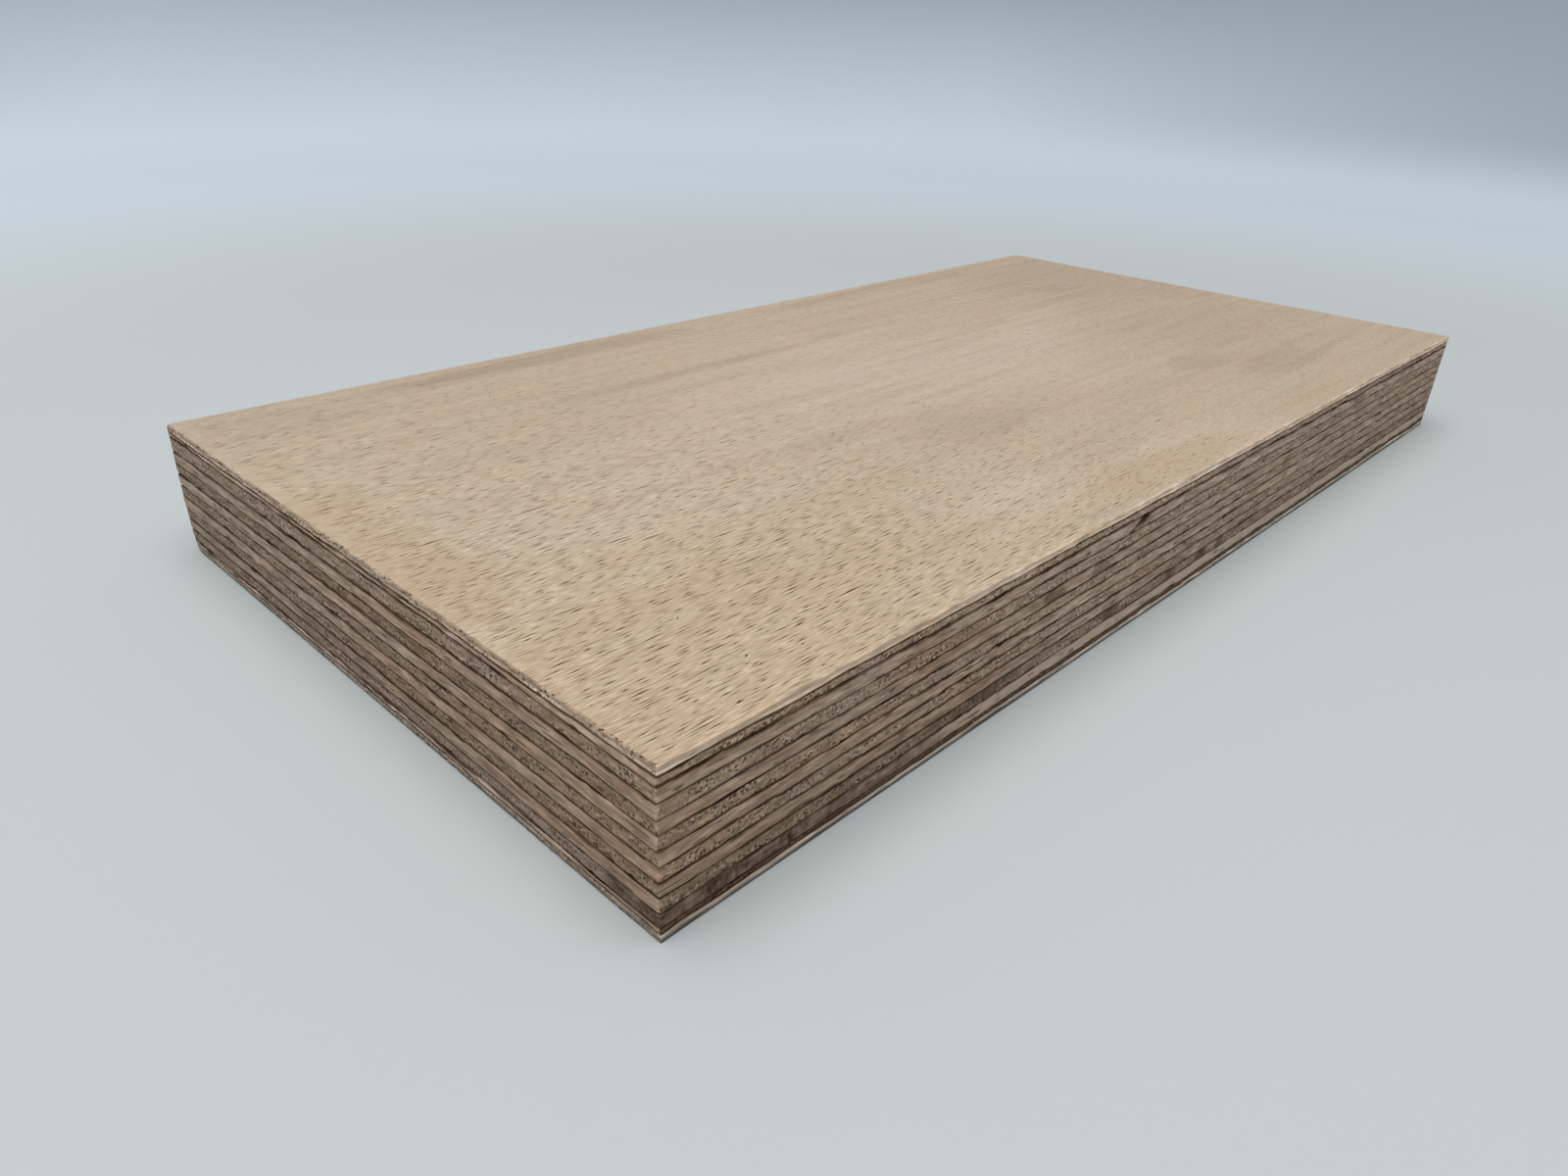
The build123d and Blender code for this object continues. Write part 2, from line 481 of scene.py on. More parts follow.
def edge_tone(number, seed, columns, height, from_glue, end_grain):
    """Brightness of each vertex of a ply's wall beside its wood's colour, with painted shade and highlights.
    """
    along_tone, end_tone = PLY_TONE_SHARES[PLIES[number]][:2]
    # The front wall is a little lighter away from the near corner
    front = columns.around < 2 * HALF_LENGTH
    wall_lightness = WALL_SHARES[columns.wall] * (1 + 0.11 * front * ease(15.0, 70.0, columns.around))
    tone = np.broadcast_to(np.where(end_grain, end_tone, along_tone) * wall_lightness, height.shape)
    corner_highlight_share = 0.4
    if from_glue is not None:
        # The half of an outer veneer's edge towards its free face is painted duller than the half beside the
        # glue:
        # painted shade where the arris rounds off and, under the back veneer, where the paper shuts out the
        # light
        free_top = number == len(PLIES) - 1
        shade_from, shade_depth = (0.38, 0.30) if free_top else (0.43, 0.82)
        rubbed_and_shaded = ease(shade_from, shade_from + 0.24, from_glue)
        tone = tone * (1 - np.where(end_grain, 0.38, shade_depth) * rubbed_and_shaded)
        if free_top:
            tips = ease(0.55, 0.8, soft_noise(seed + 7, columns.around, 0.5, 0.5, 1.0))
            tips = tips * ease(0.72, 0.95, from_glue)
            tone = tone * (1 + 0.1 * tips * columns.on_short_walls())
        corner_highlight_share = 0.15
    # Painted highlight: the upright corners are painted lighter in patches, where their rounding catches the
    # light
    corner_highlight = np.clip(1 - np.minimum(columns.along, columns.length - columns.along) / 0.4, 0, 1)
    return tone * (1 + corner_highlight_share * corner_highlight * soft_noise(seed + 8, columns.along, height, 4.0, 0.35))


def ply_wall(number, columns, relief):
    """Points of one ply's wall, row by row from its underside up, with the shading values at each point."""
    node = PLIES[number]
    free_bottom, free_top = number == 0, number == len(PLIES) - 1
    bottom, top = LEVELS[number], LEVELS[number + 1]
    rows = row_heights(top - bottom, relief, free_bottom, free_top)[:, None]
    share_up = rows / (top - bottom)
    low_height, low_depth, low_width, low_strength = glue_line(number, columns, relief)
    high_height, high_depth, high_width, high_strength = glue_line(number + 1, columns, relief)
    if free_bottom:
        low_height = np.full(columns.count, bottom)
    if free_top:
        high_height = np.full(columns.count, top)
    height = low_height + share_up * (high_height - low_height)
    above, below = height - low_height, high_height - height

    end_grain = columns.on_short_walls() != ("cross" in node)
    seed = 300 + 20 * number
    torn = end_grain_tear(seed, columns.around, height)
    furrowed = long_grain_tear(seed + 5, columns.around, height)
    tear = np.where(end_grain, torn, furrowed)
    tear_depth = np.where(end_grain, relief.end_tear, relief.along_tear) * MM * tear
    step = relief.ply_step * MM * soft_noise(seed + 9, columns.around, 0.5, 34.0, 1.0)
    inset = tear_depth + step + columns.corner_inset
    glue_distance = np.full(height.shape, np.inf)
    if not free_bottom:
        groove = np.clip(1 - above / low_width, 0, 1) ** 1.5
        inset = inset * (1 - groove) + low_depth * groove
        glue_distance = np.minimum(glue_distance, above / low_strength)
    else:
        inset = inset + arris_inset(number, columns, relief, above)
    if not free_top:
        groove = np.clip(1 - below / high_width, 0, 1) ** 1.5
        inset = inset * (1 - groove) + high_depth * groove
        glue_distance = np.minimum(glue_distance, below / high_strength)
    else:
        inset = inset + arris_inset(number, columns, relief, below)

    cracked = crack_distance(node, columns, height)
    inset = inset + relief.crack_depth * MM * np.clip(1 - cracked, 0, 1)
    # Painted shade: a crack is painted with the dark of a glue line, for the shade inside it
    glue_distance = np.minimum(glue_distance, 0.12 * cracked)

    from_glue = None
    if free_bottom or free_top:
        # The edge of an outer veneer was rubbed, so its tears get half the painted shade and it shows less of
        # the glue
        from_glue = (below if free_bottom else above) / (top - bottom)
        tear = 0.5 * tear
        glue_distance = 1.8 * glue_distance
    tone = edge_tone(number, seed, columns, height, from_glue, end_grain)
    # The wood is greyer away from the near corner
    along_warmth, end_warmth = PLY_TONE_SHARES[node][2:]
    corner = np.minimum(columns.around, columns.total - columns.around)
    warmth = np.where(end_grain, end_warmth, along_warmth) * (1 - 0.09 * ease(15.0, 80.0, corner))
    plain = np.where(end_grain, 0.0, PLAIN_SHARES.get(node, 0.0) * ease(28.0, 42.0, corner))
    # The lines are rubbed thin near the near corner of the short walls and far along the front wall
    front = columns.around < 2 * HALF_LENGTH
    glue_distance = glue_distance * (1 + 0.3 * columns.on_short_walls() * (1 - ease(4.0, 30.0, corner)))
    glue_distance = glue_distance * (1 + 0.3 * front * ease(50.0, 130.0, columns.around))
    values = {
        "glue_mm": glue_distance,
        "tear": tear,
        "stain": stain_share(node, columns, height),
        "tone": tone,
        "warmth": np.broadcast_to(warmth, height.shape),
        "plain": np.broadcast_to(plain, height.shape),
    }
    return knock_corner(columns.points(inset, height), relief), rows[:, 0], values


def glued_face(columns, rim, centres, upward):
    """Quads and triangles of a hidden face: a strip between the long rims and a fan at each end."""
    per_side = columns.first[1]
    front = rim[np.arange(per_side + 1)]
    back = rim[columns.first[2] + np.arange(per_side + 1)][::-1]
    reach = int(np.searchsorted(columns.along[:per_side], FAN_REACH))
    last = per_side - reach
    quads = np.stack([front[reach:last], front[reach + 1:last + 1],
                      back[reach + 1:last + 1], back[reach:last]], axis=1)
    left_loop = rim[np.arange(columns.first[2] + last, columns.count + reach + 1) % columns.count]
    right_loop = rim[np.arange(last, columns.first[2] + reach + 1)]
    fans = []
    for centre, loop in zip(centres, (left_loop, right_loop)):
        fans.append(np.stack([np.full(len(loop), centre), loop, np.roll(loop, -1)], axis=1))
    triangles = np.concatenate(fans)
    if not upward:
        quads, triangles = quads[:, ::-1], triangles[:, ::-1]
    return quads, triangles


def scatter_rays(seed, relief, specks, density):
    """Middle, length, width, tilt and strength of each ray and speck on a face, none touching another."""
    rng = np.random.default_rng(seed)
    cell = 0.05  # mm, of the grid that keeps the rays apart
    clear = 0.03  # mm kept free round a ray
    edge = 0.6  # mm kept free along the rim of the face
    taken = np.zeros((int(2 * HALF_LENGTH / cell) + 1, int(2 * HALF_WIDTH / cell) + 1), bool)
    wanted = int(density * 4 * HALF_LENGTH * HALF_WIDTH)
    rays = [(*speck, *SPECK_SHAPE) for speck in specks]
    for x, y, speck_length in specks:
        x_cell, y_cell = int((x + HALF_LENGTH) / cell), int((y + HALF_WIDTH) / cell)
        reach = int(speck_length / cell / 2) + 6
        taken[x_cell - reach:x_cell + reach + 1, y_cell - reach:y_cell + reach + 1] = True
    for _ in range(8 * wanted):
        ray_length = relief.ray_length * MM * math.exp(rng.normal(0, 0.5))
        ray_width = relief.ray_width * MM * math.exp(rng.normal(0, 0.25))
        tilt = rng.normal(0, 0.02)
        x = rng.uniform(-HALF_LENGTH, HALF_LENGTH)
        y = rng.uniform(-HALF_WIDTH, HALF_WIDTH)
        near = 1 - ease(-95.0, 40.0, x + 0.75 * (y + HALF_WIDTH))
        strength = (0.3 + 0.7 * rng.uniform() ** 1.4) * (0.38 + 1.1 * near)
        half_x = ray_length / 2 + clear
        half_y = ray_width / 2 + abs(tilt) * ray_length / 2 + clear
        if abs(x) + half_x > HALF_LENGTH - edge or abs(y) + half_y > HALF_WIDTH - edge:
            continue
        x_cells = slice(int((x - half_x + HALF_LENGTH) / cell), int((x + half_x + HALF_LENGTH) / cell) + 1)
        y_cells = slice(int((y - half_y + HALF_WIDTH) / cell), int((y + half_y + HALF_WIDTH) / cell) + 1)
        if taken[x_cells, y_cells].any():
            continue
        taken[x_cells, y_cells] = True
        rays.append((x, y, ray_length, ray_width, tilt, strength))
        if len(rays) == wanted:
            break
    return np.array(rays)


def ray_grooves(rays):
    """Points of each ray: four round it, then the bottom of its groove and the middle of its lit side."""
    shape = np.array([(-0.5, 0), (-0.08, -0.5), (0.5, 0), (0.08, 0.5), (0.04, 0.10), (-0.04, -0.25)])
    along = shape[:, 0] * rays[:, 2:3]
    across = shape[:, 1] * rays[:, 3:4]
    turn = rays[:, 4:5]
    x = rays[:, 0:1] + along * np.cos(turn) - across * np.sin(turn)
    y = rays[:, 1:2] + along * np.sin(turn) + across * np.cos(turn)
    return np.stack([x, y], axis=-1)


# Triangles of one ray's groove, by the order of its points above
RAY_TRIANGLES = np.array([(0, 1, 5), (1, 2, 5), (0, 5, 4), (5, 2, 4), (2, 3, 4), (3, 0, 4)])
RAY_RING = 4  # points round a ray, before those inside
RAY_POINTS = 6


def sanded_face(rim_points, rim, first_vertex, rays, relief, level, upward):
    """Flat face inside a ply's rim, cut by its rays: new points, triangles and each new point's ray share."""
    grooves = ray_grooves(rays)
    outlines = grooves[:, :RAY_RING].reshape(-1, 2)
    flat = np.concatenate([rim_points[:, :2], outlines])
    rim_count = len(rim)
    loops = [list(range(rim_count))]
    loops += [list(range(start, start + RAY_RING)) for start in range(rim_count, len(flat), RAY_RING)]
    found = delaunay_2d_cdt([Vector(point) for point in flat], [], loops, 1, 1e-6, True)
    triangles, sources, inside = found[2], found[3], found[5]
    if any(len(source) != 1 for source in sources):
        raise RuntimeError("two rays of a face cross, or a ray crosses its edge")
    source = np.array([item[0] for item in sources])
    kept = np.array([face for face, owners in zip(triangles, inside) if owners == [0]])

    depth = relief.ray_depth * MM * (0.5 + 0.7 * rays[:, 5])
    heights = np.zeros(grooves.shape[:2])
    heights[:, RAY_RING:] = depth[:, None] * (1.0, 0.15)
    heights = LEVELS[level] + (-heights if upward else heights)
    points = np.concatenate([grooves, heights[..., None]], axis=-1).reshape(-1, 3)
    ray_share = np.zeros(grooves.shape[:2])
    # The lit side gets a negative share, which the face material paints pale as a painted highlight
    ray_share[:, RAY_RING:] = rays[:, 5:6] * (1.0, -1.0)

    # Vertices of the ply: its rim, then each ray's ring and bottom
    ray_start = np.arange(len(rays)) * RAY_POINTS + first_vertex
    place = ray_start[:, None] + np.arange(RAY_RING)
    vertex = np.concatenate([rim, place.ravel()])
    flat_triangles = vertex[source[kept]]
    cut = (ray_start[:, None, None] + RAY_TRIANGLES).reshape(-1, 3)
    triangles = np.concatenate([flat_triangles, cut])
    if not upward:
        triangles = triangles[:, ::-1]
    return points, triangles, ray_share.ravel()


def cloud_share(clouds, points, seed):
    """How strongly each point lies in soft patches with uneven edges."""
    x, y = points[:, 0], points[:, 1]
    broad = soft_noise(seed, x, y, 16.0, 5.0) - 0.5
    fine = soft_noise(seed + 1, x, y, 5.0, 1.6) - 0.5
    uneven = 0.6 * broad + 0.4 * fine
    found = np.zeros(len(points))
    for middle_x, middle_y, half_x, half_y, strength in clouds:
        away = np.hypot((x - middle_x) / half_x, (y - middle_y) / half_y) + uneven
        found = np.maximum(found, strength * (1 - ease(0.35, 1.1, away)))
    return found


def wall_map(columns, rows, wall_rows, scale, base):
    """Map places of the wall's quads: its length is cut into rows that lie one over another."""
    row_length = columns.total / wall_rows
    pitch = (rows[-1] - rows[0]) * scale + MAP_ROW_GAP
    after = np.append(columns.around[1:], columns.total)
    line = np.floor(columns.around / row_length)
    left = MAP_MARGIN + (columns.around - line * row_length) * scale
    right = MAP_MARGIN + (after - line * row_length) * scale
    low = base + line * pitch + rows[:-1, None] * scale
    high = base + line * pitch + rows[1:, None] * scale
    left, right = np.broadcast_to(left, low.shape), np.broadcast_to(right, low.shape)
    corners = [(left, low), (right, low), (right, high), (left, high)]
    return np.stack([np.stack(corner, axis=-1) for corner in corners], axis=-2).reshape(-1, 2)


def flat_map(points, faces, left, base, scale):
    """Map places of faces that lie flat, seen from above."""
    corner = points[faces.ravel(), :2] + np.array([HALF_LENGTH, HALF_WIDTH])
    return corner * scale + np.array([left, base])


def build_mesh(name, points, groups, values, materials):
    """Mesh from points in millimetres and groups of faces: corners, map places, materials and smoothness."""
    mesh = bpy.data.meshes.new(name)
    mesh.vertices.add(len(points))
    mesh.vertices.foreach_set("co", (points / MM).astype(np.float32).ravel())
    sizes = np.concatenate([np.full(len(group[0]), group[0].shape[1]) for group in groups])
    corners = np.concatenate([group[0].ravel() for group in groups])
    mesh.loops.add(len(corners))
    mesh.loops.foreach_set("vertex_index", corners.astype(np.int32))
    mesh.polygons.add(len(sizes))
    mesh.polygons.foreach_set("loop_start", np.concatenate([[0], np.cumsum(sizes)[:-1]]).astype(np.int32))
    numbers = np.concatenate([group[2] for group in groups])
    mesh.polygons.foreach_set("material_index", numbers.astype(np.int32))
    smoothness = [np.full(len(group[0]), group[3]) for group in groups]
    mesh.polygons.foreach_set("use_smooth", np.concatenate(smoothness))
    mesh.update(calc_edges=True)
    baked = mesh.uv_layers.new(name="OFBake")
    baked.data.foreach_set("uv", np.concatenate([group[1] for group in groups]).astype(np.float32).ravel())
    for key, value in values.items():
        made = mesh.attributes.new(key, "FLOAT", "POINT")
        made.data.foreach_set("value", np.asarray(value, np.float32).ravel())
    for material in materials:
        mesh.materials.append(material)
    if mesh.validate():
        raise RuntimeError(f"the mesh of {name} has faulty faces")
    return mesh


def wall_quads(columns, row_count):
    """Corners of the wall's quads, facing out."""
    base = np.arange(row_count - 1)[:, None] * columns.count
    column = np.arange(columns.count)
    after = (column + 1) % columns.count
    quads = [base + column, base + after, base + columns.count + after, base + columns.count + column]
    return np.stack(quads, axis=-1).reshape(-1, 4)


def lay_ply(context, number, materials, face_clouds=None):
    """Builds one ply, puts it on the sheet's body and lets it stand for its node."""
    relief = context.scene.plywood_relief
    columns = Columns(relief)
    node = PLIES[number]
    outer = number in (0, len(PLIES) - 1)
    wall, rows, values = ply_wall(number, columns, relief)
    points = wall.reshape(-1, 3)
    values = {key: value.ravel() for key, value in values.items()}
    wall_rows = OUTER_WALL_ROWS if outer else INNER_WALL_ROWS
    scale = (1 - 2 * MAP_MARGIN) / (columns.total / wall_rows + 1)
    end_grain = columns.on_short_walls() != ("cross" in node)
    groups = [(
        wall_quads(columns, len(rows)),
        wall_map(columns, rows, wall_rows, scale, MAP_MARGIN),
        np.tile(end_grain.astype(int), len(rows) - 1),
        True,
    )]
    map_base = MAP_MARGIN + wall_rows * ((rows[-1] - rows[0]) * scale + MAP_ROW_GAP)
    map_left = MAP_MARGIN
    faces = {"bottom": (0, np.arange(columns.count)),
             "top": (1, (len(rows) - 1) * columns.count + np.arange(columns.count))}
    for side, (step, rim) in faces.items():
        level = number + step
        upward = side == "top"
        added = {}
        if level in (0, len(PLIES)):
            specks = FACE_SPECKS if upward else []
            rays = scatter_rays(500 + level, relief, specks, relief.rays_per_area * (1.0 if upward else 0.6))
            new, triangles, ray_share = sanded_face(
                points[rim], rim, len(points), rays, relief, level, upward)
            points = np.concatenate([points, new])
            values.setdefault("ray", np.zeros(len(points) - len(new)))
            added["ray"] = ray_share
            face_scale = (1 - 2 * MAP_MARGIN) / (2 * HALF_LENGTH)
            face_base = 1 - MAP_MARGIN - 2 * HALF_WIDTH * face_scale
            groups.append((triangles, flat_map(points, triangles, MAP_MARGIN, face_base, face_scale),
                           np.full(len(triangles), 3), False))
        else:
            first = len(points)
            middle = HALF_LENGTH - FAN_REACH / 2
            new = np.array([(-middle, 0, LEVELS[level]), (middle, 0, LEVELS[level])])
            points = np.concatenate([points, new])
            # The two hidden faces lie side by side over the wall's rows
            hidden_scale = (0.48 - MAP_MARGIN) / (2 * HALF_LENGTH) * (0.7 if outer else 0.94)
            for part in glued_face(columns, rim, (first, first + 1), upward):
                groups.append((part, flat_map(points, part, map_left, map_base, hidden_scale),
                               np.full(len(part), 2), False))
            map_left += 0.49
        for key in values:
            extra = np.broadcast_to(np.asarray(added.get(key, 0.0)), len(new))
            values[key] = np.concatenate([values[key], extra])
    if face_clouds:
        for key, (clouds, seed) in face_clouds.items():
            values[key] = cloud_share(clouds, points, seed)
    mesh = build_mesh(f"{node}_sawn", points, groups, values, materials)
    sharpen(mesh, columns, len(rows))
    ply = bpy.data.objects.new(f"{node}_sawn", mesh)
    context.scene.collection.objects.link(ply)
    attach(ply, "root")
    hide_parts(node)
    return ply


def sharpen(mesh, columns, row_count):
    """Marks the rims of a ply's wall as sharp, so that its faces don't shade into its edges."""
    ends = np.empty(len(mesh.edges) * 2, np.int32)
    mesh.edges.foreach_get("vertices", ends)
    row = ends.reshape(-1, 2) // columns.count
    rim = (row[:, 0] == row[:, 1]) & ((row[:, 0] == 0) | (row[:, 0] == row_count - 1))
    made = mesh.attributes.new("sharp_edge", "BOOLEAN", "EDGE")
    made.data.foreach_set("value", rim)


# Inputs by number: a colour mix has its share at 0 and its two colours at 6 and 7, a number mix has its
# numbers at 2 and 3, and a map range takes what lies between 1 and 2 to what lies between 3 and 4
def add_node(tree, kind, inputs=None, **settings):
    """Adds a node, with its settings, and sets or links its inputs by name or number."""
    made = tree.nodes.new(kind)
    for key, value in settings.items():
        setattr(made, key, value)
    for key, value in (inputs or {}).items():
        if isinstance(value, bpy.types.NodeSocket):
            tree.links.new(value, made.inputs[key])
        else:
            made.inputs[key].default_value = value
    return made


def new_material(name):
    """Empty material with its node tree and its shader."""
    material = bpy.data.materials.new(name)
    material.use_nodes = True
    tree = material.node_tree
    return material, tree, tree.nodes["Principled BSDF"]


def rgba(colour_value):
    """Colour property as a socket takes it."""
    return (*colour_value, 1.0)


def wall_place(tree):
    """Place on a sawn edge in millimetres: along the wall, then up it."""
    place = add_node(tree, "ShaderNodeTexCoord").outputs["Object"]
    along = add_node(tree, "ShaderNodeVectorMath", {0: place, 1: (MM, MM, 0)}, operation="DOT_PRODUCT")
    up = add_node(tree, "ShaderNodeVectorMath", {0: place, 1: (0, 0, MM)}, operation="DOT_PRODUCT")
    both = {0: along.outputs["Value"], 1: up.outputs["Value"]}
    return add_node(tree, "ShaderNodeCombineXYZ", both).outputs[0]


def texture(tree, kind, place, cell, inputs=None, turn=0.0, **settings):
    """Adds a texture whose cells have the given size in millimetres, turned by an angle in degrees."""
    mapped = {"Vector": place, "Rotation": (0, 0, math.radians(turn)), "Scale": (*cell, 1.0)}
    cells = add_node(tree, "ShaderNodeMapping", mapped, vector_type="TEXTURE")
    found = {"Vector": cells.outputs[0], "Scale": 1.0, **(inputs or {})}
    return add_node(tree, kind, found, **settings).outputs[0]


def edge_marks(tree, colours, place, ground, wood):
    """Colour of a sawn edge with its ply's tone, painted shade in its tears, its stains and its glue lines.
    """
    marks = {key: add_node(tree, "ShaderNodeAttribute", attribute_name=key).outputs["Fac"]
             for key in ("glue_mm", "tear", "stain", "tone", "warmth", "plain")}
    # A plain ply lacks the streaks and the touches of the saw, and its hue is more olive
    even = add_node(tree, "ShaderNodeMix", {0: marks["plain"], 6: wood, 7: rgba(ground)}, data_type="RGBA")
    # A veneer is browner or greyer over stretches of 20 mm
    hues = texture(tree, "ShaderNodeTexNoise", place, (20.0, 1.7), {"Detail": 1.0})
    greyer = add_node(tree, "ShaderNodeMapRange", {"Value": hues, 1: 0.35, 2: 0.65, 3: 0.98, 4: 0.84})
    warmth = add_node(tree, "ShaderNodeMath",
                      {0: greyer.outputs[0], 1: marks["warmth"]}, operation="MULTIPLY")
    olive = add_node(tree, "ShaderNodeMath", {0: marks["plain"], 1: 0.022, 2: 0.5}, operation="MULTIPLY_ADD")
    hued = add_node(tree, "ShaderNodeHueSaturation",
                    {"Hue": olive.outputs[0], "Saturation": warmth.outputs[0], "Color": even.outputs[2]})
    # Painted shade: the deeper a tear in the relief, the more its colour turns to the dark pit colour
    tear_shade = add_node(tree, "ShaderNodeMapRange", {"Value": marks["tear"], 1: 0.42, 2: 0.8, 3: 0.0, 4: 0.65})
    torn = add_node(tree, "ShaderNodeMix", {0: tear_shade.outputs[0], 6: hued.outputs[0], 7: rgba(colours.pit_shade)},
                    data_type="RGBA")
    # A stain stands in upright blotches of about 1 by 2 mm
    blotches = texture(tree, "ShaderNodeTexNoise", place, (1.0, 2.0), {"Detail": 2.0})
    blotch = add_node(tree, "ShaderNodeMapRange", {"Value": blotches, 1: 0.30, 2: 0.65, 3: 0.45, 4: 1.0})
    stain = add_node(tree, "ShaderNodeMath", {0: marks["stain"], 1: blotch.outputs[0]}, operation="MULTIPLY")
    stained = add_node(tree, "ShaderNodeMix",
                       {0: stain.outputs[0], 6: torn.outputs[2], 7: rgba(colours.stain)}, data_type="RGBA")
    # The wood is soaked for up to 0.42 mm on both sides of a line, in stretches of 6 mm
    stretches = texture(tree, "ShaderNodeTexNoise", place, (6.0, 0.9), {"Detail": 3.0})
    reach = add_node(tree, "ShaderNodeMapRange", {"Value": stretches, 1: 0.30, 2: 0.70, 3: 0.12, 4: 0.42})
    near = add_node(tree, "ShaderNodeMath", {0: marks["glue_mm"], 1: reach.outputs[0]}, operation="DIVIDE")
    halo = add_node(tree, "ShaderNodeMapRange", {"Value": near.outputs[0], 1: 0.1, 2: 1.0, 3: 0.70, 4: 0.0},
                    interpolation_type="SMOOTHSTEP")
    soaked = add_node(tree, "ShaderNodeMix",
                      {0: halo.outputs[0], 6: stained.outputs[2], 7: rgba(colours.soaked)}, data_type="RGBA")
    # The saw left every edge uneven, in lighter and darker touches of 2.8 by 0.55 mm
    touches = texture(tree, "ShaderNodeTexNoise", place, (2.8, 0.55), {"Detail": 3.0})
    uneven = add_node(tree, "ShaderNodeMapRange", {"Value": touches, 1: 0.30, 2: 0.70, 3: 0.67, 4: 1.33})
    touched = add_node(tree, "ShaderNodeMix", {0: marks["plain"], 2: uneven.outputs[0], 3: 1.0})
    tone = add_node(tree, "ShaderNodeMath", {0: marks["tone"], 1: touched.outputs[0]}, operation="MULTIPLY")
    toned = add_node(tree, "ShaderNodeMix",
                     {0: 1.0, 6: soaked.outputs[2], 7: tone.outputs[0]},
                     data_type="RGBA", blend_type="MULTIPLY")
    # The glue itself is up to 0.4 mm thick and ragged over 2.4 mm, in strokes that lean with the torn fibres
    ragged = texture(tree, "ShaderNodeTexNoise", place, (2.4, 0.34), {"Detail": 3.0}, turn=6.0)
    half = add_node(tree, "ShaderNodeMapRange", {"Value": ragged, 1: 0.36, 2: 0.64, 3: 0.06, 4: 0.28})
    inside = add_node(tree, "ShaderNodeMath", {0: marks["glue_mm"], 1: half.outputs[0]}, operation="DIVIDE")
    line = add_node(tree, "ShaderNodeMapRange",
                    {"Value": inside.outputs[0], 1: 0.45, 2: 1.15, 3: 1.0, 4: 0.0},
                    interpolation_type="SMOOTHSTEP")
    bare = add_node(tree, "ShaderNodeMapRange", {"Value": stretches, 1: 0.36, 2: 0.62, 3: 1.0, 4: 0.5})
    film = add_node(tree, "ShaderNodeMath", {0: line.outputs[0], 1: bare.outputs[0]}, operation="MULTIPLY")
    glued = add_node(tree, "ShaderNodeMix", {0: film.outputs[0], 6: toned.outputs[2], 7: rgba(colours.glue)},
                     data_type="RGBA")
    return glued.outputs[2]


def beech_sawn_along(name, colours, ground, dark, pale):
    """Beech sawn along its grain."""
    # The saw leaves this edge closed and fairly smooth: a pinkish brown with fine darker streaks along
    # the ply, a few slivers torn up light and slow changes of tone, matt with a trace of sheen.
    material, tree, shader = new_material(name)
    place = wall_place(tree)
    streaks = texture(tree, "ShaderNodeTexNoise", place, (4.5, 0.15), {"Detail": 3.0})
    patches = texture(tree, "ShaderNodeTexNoise", place, (7.0, 0.9), {"Detail": 2.0})
    fibres = texture(tree, "ShaderNodeTexNoise", place, (1.3, 0.10), {"Detail": 2.0})
    rough = texture(tree, "ShaderNodeTexNoise", place, (6.0, 0.6), {"Detail": 1.0})
    mixed = add_node(tree, "ShaderNodeMath", {0: streaks, 1: patches}, operation="ADD")
    shade = add_node(tree, "ShaderNodeMapRange",
                     {"Value": mixed.outputs[0], 1: 0.78, 2: 1.24, 3: 0.0, 4: 1.0})
    wood = add_node(tree, "ShaderNodeMix",
                    {0: shade.outputs[0], 6: rgba(ground), 7: rgba(dark)}, data_type="RGBA")
    where = add_node(tree, "ShaderNodeMapRange", {"Value": rough, 1: 0.40, 2: 0.65, 3: 0.15, 4: 0.85})
    sliver = add_node(tree, "ShaderNodeMapRange", {"Value": fibres, 1: 0.58, 2: 0.72, 3: 0.0, 4: 1.0})
    lift = add_node(tree, "ShaderNodeMath", {0: sliver.outputs[0], 1: where.outputs[0]}, operation="MULTIPLY")
    lit = add_node(tree, "ShaderNodeMix",
                   {0: lift.outputs[0], 6: wood.outputs[2], 7: rgba(pale)}, data_type="RGBA")
    # Painted shade: thin splits between the fibres are painted in the dark pit colour
    gap = add_node(tree, "ShaderNodeMapRange", {"Value": fibres, 1: 0.40, 2: 0.28, 3: 0.0, 4: 0.8})
    split = add_node(tree, "ShaderNodeMath", {0: gap.outputs[0], 1: where.outputs[0]}, operation="MULTIPLY")
    cracked = add_node(tree, "ShaderNodeMix", {0: split.outputs[0], 6: lit.outputs[2], 7: rgba(colours.pit_shade)},
                       data_type="RGBA")
    bump = add_node(tree, "ShaderNodeBump", {"Strength": 0.5, "Distance": 0.03 / MM, "Height": fibres})
    marked = edge_marks(tree, colours, place, ground, cracked.outputs[2])
    tree.links.new(marked, shader.inputs["Base Color"])
    tree.links.new(bump.outputs[0], shader.inputs["Normal"])
    shader.inputs["Roughness"].default_value = 0.72
    shader.inputs["Specular IOR Level"].default_value = 0.05
    return material


